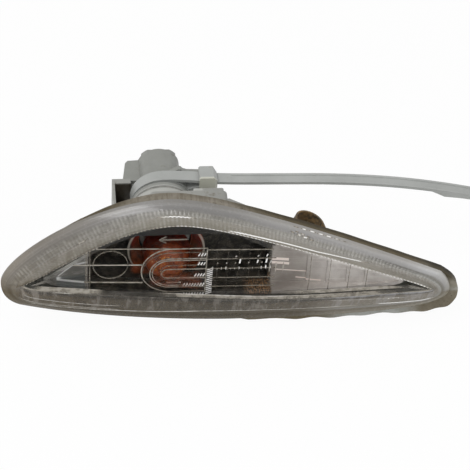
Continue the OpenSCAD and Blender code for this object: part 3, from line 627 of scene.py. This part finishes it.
def lens_rings():
    """Rings of the lens skin: those inside it and round its skirt, and those over the band to the rim
    of the face. Each has its place across the band, its material and the values of its crest."""
    n = [c * FINE for c in COARSE_N]
    rim, ridge, crease = (closed_loop(p, n) for p in (OUTLINE, RIDGE, CREASE))
    skirt = [
        (leaning(drawn_in(crease, 1.6 * WALL, 0.8 * WALL), FACE_D - WALL, FACE_LEAN), 1, INSIDE, 0),
        (leaning(drawn_in(ridge, 0.9 * WALL, 0.6 * WALL), RIDGE_D - 0.8 * WALL, RIDGE_LEAN), 0.5, INSIDE, 0),
        (ring_at(drawn_in(rim, WALL, WALL), FLANGE_Y - 0.6), 0.1, INSIDE, 0),
        (ring_at(drawn_in(rim, WALL, WALL), FLANGE_Y), 0, INSIDE, 0),
        (ring_at(drawn_in(rim, LIP_T, LIP_T), FLANGE_Y), 0, INSIDE, 0),
        (ring_at(drawn_in(rim, LIP_T, LIP_T), FOOT_Y), 0, BAND, 0),
        (ring_at(drawn_in(rim, FOOT_EDGE, FOOT_EDGE), FOOT_Y), 0, BAND, 0),
        (ring_at(rim, FOOT_Y - FOOT_EDGE), 0, BAND, 0),
        (ring_at(rim, SKIRT_Y + 0.25), 0, BAND, 0)]
    along = np.arange(len(rim)) * 2 / len(rim)
    upper, flutes_from, flutes_to = (np.interp(along, *t) for t in (UPPER_SIDE, FLUTES_FROM, FLUTES_TO))
    ridge_y, crease_y = RIDGE_D + RIDGE_LEAN * ridge[:, 1], FACE_D + FACE_LEAN * crease[:, 1]
    middle = mix(ridge, crease, 0.5)
    band = []
    for g in BAND_PLACES:
        if g <= 1:
            plan, y = mix(rim, ridge, g), mix(SKIRT_Y, -ridge_y, 1 - (1 - g) ** BAND_ROUND)
        else:
            plan, y = mix(ridge, crease, g - 1), -mix(ridge_y, crease_y, g - 1)
        # flutes run across the upper side, between two lines along the band
        cut = np.clip((g - flutes_from) / FLUTE_START, 0, 1) * np.clip((flutes_to - g) / FLUTE_END, 0, 1)
        cut *= upper
        crest = flute_crest(plan, middle) * cut
        band.append((ring_at(plan, y + FLUTE_DEPTH * (cut - crest)), g, BAND, crest))
    x, lower = crease[:, 0], along > 1
    # painted highlights in dashes along the crease
    dashes = mix(0.45, 1.3, flute_crest(crease, middle)) * np.interp(x, *UPPER_LINE)
    dashes = np.where(along < 1, dashes, np.interp(x, *LOWER_LINE))
    # painted light strip inside the lower crease, and a painted reflection of the lower edge of the right
    # wing in the lens
    strip = np.interp(x, *STRIP) * lower
    edge = strip * np.interp(x, *STRIP_EDGE)
    wing = np.interp(x, *WING_EDGE) * (lower | (x > 76))
    band.append((leaning(drawn_in(crease, 0.02, 0.02), FACE_D, FACE_LEAN), 2, BAND, dashes))
    for inset, crest in [((0.42, 0.4), dashes), ((0.5, 0.5), strip), ((1.1, 1.7), strip),
                         ((1.2, 1.85), edge), ((1.3, 2.1), edge), ((1.34, 2.2), 0), ((1.5, 2.7), 0),
                         ((1.6, 2.9), wing), ((2.2, 4.4), wing), ((2.3, 4.8), 0)]:
        band.append((leaning(drawn_in(crease, *inset), FACE_D - 0.05, FACE_LEAN), 2.1, OPTICS, crest))
    return skirt, band, upper


def flute_crest(plan, middle):
    """1 on the crest of a flute and 0 in its groove, for flutes square to the middle line."""
    step = np.linalg.norm(np.diff(middle, axis=0, append=middle[:1]), axis=1)
    run = np.concatenate([[0], np.cumsum(step)[:-1]])
    turns = round(step.sum() / FLUTE_PITCH)
    nearest = [int(np.argmin(((middle - p) ** 2).sum(axis=1))) for p in plan]
    return 0.5 + 0.5 * np.cos(run[nearest] / step.sum() * turns * 2 * math.pi)


# Painted highlights on the band: points as (place along the lens, place across the band), width, brightness
# and, for a dotted line, the number of points of a ring from dot to dot
STREAKS = [([(0.53, 1.9), (0.6, 1.8), (0.66, 1.7), (0.72, 1.66), (0.745, 1.54), (0.78, 1.36), (0.82, 1.1)],
            0.5, 1.4),
           ([(0.195, 1.04), (0.21, 0.99), (0.235, 0.93)], 0.4, 1.1),
           ([(0.355, 1.0), (0.4, 1.06), (0.47, 1.12)], 0.36, 1.3),
           ([(0.38, 0.9), (0.43, 0.96)], 0.16, 0.6),
           ([(0.65, 0.36), (0.664, 0.46), (0.69, 0.6), (0.715, 0.7)], 0.5, 1.3, 9),
           ([(0.655, 0.26), (0.68, 0.4), (0.7, 0.5)], 0.4, 1.2, 8),
           ([(0.65, 0.05), (0.69, 0.045), (0.755, 0.04)], 0.34, 1.4, 10),
           ([(1.96, 1.37), (1.88, 1.33), (1.836, 1.25), (1.77, 1.2), (1.7, 1.24)], 0.36, 0.62),
           ([(1.964, 0.88), (1.9, 1.0), (1.85, 0.93), (1.78, 0.95), (1.69, 0.92)], 0.36, 0.6),
           ([(1.235, 1.07), (1.17, 0.96), (1.09, 0.85), (1.06, 0.85)], 0.5, 1.3),
           ([(1.92, 0.86), (1.82, 0.73), (1.74, 0.8), (1.64, 0.88), (1.54, 1.0), (1.36, 1.02), (1.24, 1.05)],
            0.36, 0.7),
           ([(1.34, 1.75), (1.24, 1.6), (1.14, 1.5)], 0.3, 0.7),
           ([(1.235, 1.5), (1.2, 1.53), (1.165, 1.5), (1.14, 1.44)], 0.8, 0.85, 8),
           ([(1.865, 1.95), (1.845, 1.97), (1.81, 1.96)], 0.5, 1.1)]
# How far a streak stands off the band, over how many points it fades at its ends, and how far across
# the band its direction is measured
STREAK_LIFT, STREAK_FADE, STREAK_STEP = (0, -0.05, 0.03), 25, 0.02


def add_streak(sheets, band, points, width, bright, dots=0):
    """Thin strip of painted highlight that lies on the band."""
    rings, places = (np.array([row[k] for row in band]) for k in (0, 1))
    n = rings.shape[1]
    knots = np.array(sorted(points))
    spots = np.arange(math.ceil(knots[0, 0] * n / 2), int(knots[-1, 0] * n / 2))
    g = np.interp(spots * 2 / n, knots[:, 0], knots[:, 1])

    def on_band(at):
        k = np.clip(np.searchsorted(places, at) - 1, 0, len(places) - 2)
        f = (at - places[k]) / (places[k + 1] - places[k])
        return mix(rings[k, spots], rings[k + 1, spots], f[:, None])

    middle = on_band(g)
    side = on_band(g + STREAK_STEP) - on_band(g - STREAK_STEP)
    side *= width / 2 / np.linalg.norm(side, axis=1)[:, None]
    m = len(g)
    share = np.clip(np.minimum(np.arange(m), np.arange(m)[::-1]) / STREAK_FADE, 0, 1)
    if dots:
        share *= 0.5 + 0.5 * np.sin(spots * 2 * math.pi / dots)
    faces = [[i, i + 1, m + i + 1, m + i] for i in range(m - 1)]
    sheets.add(np.concatenate([middle - side, middle + side]) + STREAK_LIFT, faces, OPTICS,
               crest=np.tile(bright * share, 2))


def add_face(sheets, edge, kind, crown=0, rows=4):
    """Closes a ring with a sheet of quads between its two long sides, bulging forward by crown."""
    n, half = len(edge), len(edge) // 2
    a, b = edge[1:half], across(edge)[1:half]
    width = np.minimum(1, np.linalg.norm(a - b, axis=1) / CROWN_WIDTH)
    points = [edge]
    for f in np.arange(1, rows) / rows:
        p = mix(a, b, f)
        p[:, 1] -= 4 * f * (1 - f) * crown * width
        points.append(p)

    def at(s, i):
        if i in (0, half) or s == 0:
            return i
        return n - i if s == rows else n + (s - 1) * (half - 1) + i - 1

    faces = []
    for s in range(rows):
        for i in range(half):
            quad = [at(s, i), at(s, i + 1), at(s + 1, i + 1), at(s + 1, i)]
            faces.append([q for k, q in enumerate(quad) if q != quad[k - 1]])
    sheets.add(np.concatenate(points), faces, kind)


def lens_skin(sheets):
    skirt, band, upper = lens_rings()
    rings, places, kinds, crests = zip(*skirt, *band)
    n = len(upper)
    faces = [[a + i, a + (i + 1) % n, a + n + (i + 1) % n, a + n + i]
             for a in range(0, n * (len(rings) - 1), n) for i in range(n)]
    sheets.add(np.concatenate(rings), faces, np.repeat(kinds[1:], n),
               crest=np.concatenate([np.broadcast_to(c, n) for c in crests]),
               across=np.repeat(places, n), upper=np.tile(upper, len(rings)))
    add_face(sheets, rings[-1], FACE, CROWN, 10)
    add_face(sheets, rings[0], INSIDE)
    for streak in STREAKS:
        add_streak(sheets, band, *streak)


# Raised lines: usual width, height and brightness, points round one, and how deep it is sunk
RIB_WIDTH, RIB_HEIGHT, RIB_CREST = 0.32, 0.4, 0.38
RIB_SIDES, RIB_SUNK = 6, 0.03


def rib(sheets, path, width=RIB_WIDTH, crest=RIB_CREST, closed=False):
    """Half round bar along a path in X and Z, on the flat inside of the face."""
    path = np.asarray(path, float)
    if closed:
        along = np.roll(path, -1, axis=0) - np.roll(path, 1, axis=0)
    else:
        along = np.gradient(path, axis=0)
    along /= np.linalg.norm(along, axis=1)[:, None]
    side = np.column_stack([-along[:, 1], along[:, 0]])
    rings = []
    for a in np.linspace(0, math.pi, RIB_SIDES):
        plan = path + side * (width / 2 * math.cos(a))
        y = -(FACE_D - WALL) - FACE_LEAN * plan[:, 1] - RIB_SUNK + RIB_HEIGHT * math.sin(a)
        rings.append(ring_at(plan, y))
    n, m = len(path), len(rings)
    faces = []
    for i in range(n if closed else n - 1):
        j = (i + 1) % n
        for k in range(m):
            after = (k + 1) % m
            faces.append([k * n + i, k * n + j, after * n + j, after * n + i])
    if not closed:
        faces += [[k * n for k in range(m)], [k * n + n - 1 for k in range(m)]]
    sheets.add(np.concatenate(rings), faces, OPTICS, crest=crest)


def line(a, b, step=1.5):
    """Points from a to b, two or more, about step apart."""
    n = max(2, int(math.dist(a, b) / step) + 1)
    return [mix(np.array(a, float), np.array(b, float), i / (n - 1)) for i in range(n)]


def open_loop(r, centre, end_x):
    """Path of a loop that is round on the left and open on the right."""
    cx, cz = centre
    turns = np.linspace(math.pi / 2, math.pi * 1.5, 28)
    arc = [(cx + r * math.cos(t), cz + r * math.sin(t)) for t in turns]
    return line((end_x, cz + r), (cx, cz + r))[:-1] + arc + line((cx, cz - r), (end_x, cz - r))[1:]


TOP_INSET = 1.6


def face_top(x):
    """Height at x a little below the upper edge of the face."""
    upper = closed_loop(CREASE, COARSE_N)[:sum(COARSE_N[:2])]
    return float(np.interp(x, upper[:, 0], upper[:, 1])) - TOP_INSET


# Right end of the loops, where the grid begins, and the brightness of faint lines
LOOP_END, FAINT = 11.5, 0.2
# Nested loops before the bulb: radius, centre, width, brightness
LOOPS = [(9.5, (1, 1.8), RIB_WIDTH, RIB_CREST), (6.25, (0.4, 0.7), 0.3, RIB_CREST),
         (5.5, (0.4, 0.7), 0.3, RIB_CREST), (1.9, (-0.3, 0.4), RIB_WIDTH, RIB_CREST),
         (8.6, (0.4, 1), 0.24, FAINT), (3.0, (0.4, 1), 0.24, FAINT)]
# Straight lines of the grid and over the wings: from, to, width, brightness
LINES = [((-0.5, -3.5), (4, -3.5), RIB_WIDTH, RIB_CREST),
         ((LOOP_END, -8.6), (LOOP_END, 11.4), 0.34, RIB_CREST),
         *[((x, -9.2), (x, 10.4), 0.2, 0.13) for x in (LOOP_END + k * 3.3 for k in range(1, 7))],
         *[((LOOP_END, z), (33, z - 0.2), 0.24, 0.27) for z in (-5.7, -1.8, 2.3, 6.5)],
         ((LOOP_END, 10.6), (32, 10.2), 0.3, 0.34),
         *[((x, 4.1), (x, 0.4), 0.28, 0.5) for x in (31.2, 33.1, 35.4)],
         *[((x, -7.6), (x, face_top(x)), 0.3, 0.24) for x in (-25.4, -24.3)],
         *[((x, -8.6), (x, face_top(x)), 0.3, FAINT) for x in (44, 50.3, 56.5, 62.2)],
         ((-22.5, 12), (0, 11.4), 0.3, RIB_CREST), ((-29.4, 5.2), (-8.4, 4.6), 0.36, 0.5),
         ((-26, -2.4), (-8, -3.2), 0.5, 0.4)]
# Rows of prisms beside the loops: height, and the number of prisms left out at the left
PRISM_ROWS = [(-4.7, 0), (-9.0, 0), (-0.4, 4), (4.6, 5), (8.6, 5)]
PRISM_START, PRISM_PITCH, PRISMS = 4.6, 0.86, 8
COLUMN_START, COLUMN_PITCH, COLUMN_PRISMS = -8.8, 0.9, 13
# Rows of short edges on the grid with painted glints: height, and the length of each edge
EDGE_ROWS = [(1.9, (0.9, 0.3, 0.7, 0.9, 0.4, 0.4, 0.7, 0.3, 0.3, 0.4, 0, 0.8, 1.2, 1.0)),
             (4.4, (0, 0.3, 0, 0.3, 0, 0.3, 1.7, 0, 0.4, 0, 1.2, 0.3, 1.9, 0.7)),
             (7.2, (0, 0, 0, 0, 0, 0.4, 0, 0, 0, 0, 0.5, 0, 0.9, 0))]
EDGE_START, EDGE_PITCH = LOOP_END + 2.0, 1.37


def optics(sheets):
    """Raised pattern inside the face: nested loops before the bulb, a grid, and plain marks."""
    for r, centre, width, crest in LOOPS:
        rib(sheets, open_loop(r, centre, LOOP_END), width, crest)
    for start, end, width, crest in LINES:
        rib(sheets, line(start, end), width, crest)
    plain_marks(sheets)
    prisms(sheets)


def plain_marks(sheets):
    """Arrow and oval ring."""
    shaft_z = 15.4
    rib(sheets, line((-2.4, shaft_z), (5.3, shaft_z), 0.8), 0.5, 0.24)
    for side in (-1, 1):
        rib(sheets, line((-3.3, shaft_z), (-1.2, shaft_z + 1.4 * side), 0.5), 0.4, 0.24)
    turns = np.linspace(0, 2 * math.pi, 49)[:-1]
    rib(sheets, [(-18 + 5.3 * math.cos(t), 5 + 6 * math.sin(t)) for t in turns], 0.26, 0.25, closed=True)


def prisms(sheets):
    """Small prisms beside the loops, in rows and a column, and short edges on the grid, all with painted
    glints.
    """
    for z, first in PRISM_ROWS:
        for k in range(first, PRISMS):
            x = PRISM_START + PRISM_PITCH * k
            rib(sheets, line((x, z - 0.6), (x + 0.5, z + 0.5), 0.4), 0.34, 1.1)
    for k in range(COLUMN_PRISMS):
        z = COLUMN_START + COLUMN_PITCH * k
        rib(sheets, line((LOOP_END + 0.3, z - 0.3), (LOOP_END + 2.1, z + 0.5), 0.5), 0.28, 1.0)
    for row, (z, lengths) in enumerate(EDGE_ROWS):
        for k, length in enumerate(lengths):
            if length:
                x = EDGE_START + EDGE_PITCH * k
                rib(sheets, line((x, z), (x + 0.2 * row, z + length), 0.5), 0.2 + 0.16 * length,
                    0.5 + 0.5 * length)


def build_lens():
    sheets = Sheets()
    lens_skin(sheets)
    optics(sheets)
    piece = sheets.object("lens_shell", [lens_band(), lens_face(), lens_inside(), lens_optics()])
    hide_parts("lens")


# CAD pieces that keep their shape


# Points nearer than WELD are joined, folds under FLAT_ANGLE taken out, those over EDGE_ANGLE rounded
WELD = 0.02
FLAT_ANGLE, EDGE_ANGLE = 0.4, 32


def paint(node, material):
    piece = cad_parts[node]
    piece.data.materials.clear()
    piece.data.materials.append(material)


def soften(node, width):
    """Small round edges on a CAD piece, by modifiers alone."""
    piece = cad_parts[node]
    mesh = piece.data
    if "custom_normal" in mesh.attributes:
        mesh.attributes.remove(mesh.attributes["custom_normal"])
    mesh.polygons.foreach_set("use_smooth", [True] * len(mesh.polygons))
    weld = piece.modifiers.new("weld", "WELD")
    weld.merge_threshold = WELD * MM
    flat = piece.modifiers.new("flat", "DECIMATE")
    flat.decimate_type = "DISSOLVE"
    flat.angle_limit = math.radians(FLAT_ANGLE)
    edge = piece.modifiers.new("edge", "BEVEL")
    edge.width = width * MM
    edge.segments = 2
    edge.limit_method = "ANGLE"
    edge.angle_limit = math.radians(EDGE_ANGLE)
    edge.harden_normals = True
    edge.use_clamp_overlap = True


def dress_cad():
    grey = moulded_plastic("grey_plastic", rgb(144, 144, 139), rgb(96, 88, 72),
                           # pocket: painted shade inside the recess beside the holder
                           pocket=((-14.7, 11.5, -6.2), (-8.9, 32.6, 3.2)),
                           # paler: painted light on the collar, lifting the shade under the strap
                           paler=((-8.7, 9.5, -2), (12, 21, 14), rgb(168, 168, 163)))
    holder = moulded_plastic("holder_plastic", rgb(136, 137, 132), rgb(104, 98, 86), 0.6,
                             # paler: painted light on the front of the flange, lifting its shade
                             paler=((-12, 21, 0), (12, 22.9, 12), rgb(172, 172, 168)))
    nylon = moulded_plastic("nylon", rgb(162, 164, 161), rgb(140, 136, 122), 0.6, 0.38,
                            paler=((11.5, 22, 5), (18.2, 25.4, 12), rgb(188, 188, 175)))
    sealant = soft_rubber("black_sealant", rgb(26, 26, 25), rgb(44, 42, 38))
    seal = soft_rubber("grey_seal", rgb(112, 112, 107), rgb(134, 133, 127))
    steel = plain_metal("drawn_steel", rgb(190, 190, 190))
    brass = plain_metal("tinned_brass", rgb(200, 180, 130))
    for node, material in [("housing", grey), ("bulb_holder", holder), ("cable_tie", nylon),
                           ("holder_seal", seal), ("lens_sealant", sealant), ("reflector", silvered()),
                           ("bulb_glass", amber_glass()), ("spring_clip", rusty_steel()),
                           ("panel_gasket", foam_rubber()), ("contact_left", brass),
                           ("contact_right", brass), ("lead_left", steel), ("lead_right", steel),
                           ("bulb_filament", steel)]:
        paint(node, material)
    for node, width in [("housing", 0.25), ("bulb_holder", 0.3), ("cable_tie", 0.15), ("spring_clip", 0.12)]:
        soften(node, width)


# Stage, lights and camera


def make_camera():
    """Camera of the photo, turned by its roll round the line of sight."""
    a, e, r = (math.radians(v) for v in (AZIMUTH, ELEVATION, ROLL))
    back = Vector((math.sin(a) * math.cos(e), -math.cos(a) * math.cos(e), math.sin(e)))
    right = Vector((math.cos(a), math.sin(a), 0))
    up = back.cross(right)
    side = right * math.cos(r) + up * math.sin(r)
    top = up * math.cos(r) - right * math.sin(r)
    data = bpy.data.cameras.new("camera")
    data.sensor_width = SENSOR
    data.lens = PIXELS_PER_MM / MM * CAMERA_AWAY / PHOTO_SIDE * SENSOR
    data.shift_x, data.shift_y = SHIFT
    camera = in_scene("camera", data)
    camera.location = AIM + back * CAMERA_AWAY
    camera.rotation_mode = "QUATERNION"
    camera.rotation_quaternion = Matrix((side, top, back)).transposed().to_quaternion()
    bpy.context.scene.camera = camera


def seen_by_eye(tree):
    """1 for rays that the camera, gloss or clear matter sends, and 0 for light on a surface."""
    path = tree.nodes.new("ShaderNodeLightPath")
    total = path.outputs["Is Camera Ray"]
    for name in ("Is Glossy Ray", "Is Transmission Ray"):
        n = tree.nodes.new("ShaderNodeMath")
        n.operation = "MAXIMUM"
        tree.links.new(total, n.inputs[0])
        tree.links.new(path.outputs[name], n.inputs[1])
        total = n.outputs[0]
    return total


def make_world():
    """White to the eye, and a softer light on surfaces."""
    world = bpy.data.worlds.new("world")
    bpy.context.scene.world = world
    world.use_nodes = True
    tree = world.node_tree
    background = tree.nodes["Background"]
    background.inputs["Color"].default_value = (1, 1, 1, 1)
    n = tree.nodes.new("ShaderNodeMapRange")
    n.inputs["To Min"].default_value = WORLD_STRENGTH
    n.inputs["To Max"].default_value = 1
    tree.links.new(seen_by_eye(tree), n.inputs["Value"])
    tree.links.new(n.outputs["Result"], background.inputs["Strength"])


def floor_material():
    """White to the eye but for a faint shadow, and matt grey for the light it throws back."""
    s = Shade("floor")
    share = s.times(seen_by_eye(s.tree), FLOOR_WHITE)
    matt = s.node("ShaderNodeBsdfDiffuse", {"Color": (FLOOR_TONE, FLOOR_TONE, FLOOR_TONE, 1)}).outputs[0]
    white = s.node("ShaderNodeEmission", {"Strength": 1.0}).outputs[0]
    return s.finish(s.node("ShaderNodeMixShader", {0: share, 1: matt, 2: white}).outputs[0])


def make_floor():
    mesh = bpy.data.meshes.new("floor")
    z = cad_box[0].z - FLOOR_GAP
    corners = [(x * FLOOR_REACH, y * FLOOR_REACH, z) for x, y in ((-1, -1), (1, -1), (1, 1), (-1, 1))]
    mesh.from_pydata(corners, [], [[0, 1, 2, 3]])
    mesh.materials.append(floor_material())
    in_scene("floor", mesh)


def area_light(name, place, size, power):
    data = bpy.data.lights.new(name, "AREA")
    data.shape = "RECTANGLE"
    data.size, data.size_y = size
    data.energy = power
    light = in_scene(name, data)
    light.location = place
    light.rotation_mode = "QUATERNION"
    light.rotation_quaternion = (Vector(LIGHT_AIM) - Vector(place)).to_track_quat("-Z", "Y")


def light_scene():
    make_world()
    make_floor()
    for light in LIGHTS:
        area_light(*light)


bpy.context.scene.view_settings.view_transform = "Standard"
make_camera()
light_scene()
dress_cad()
build_lens()
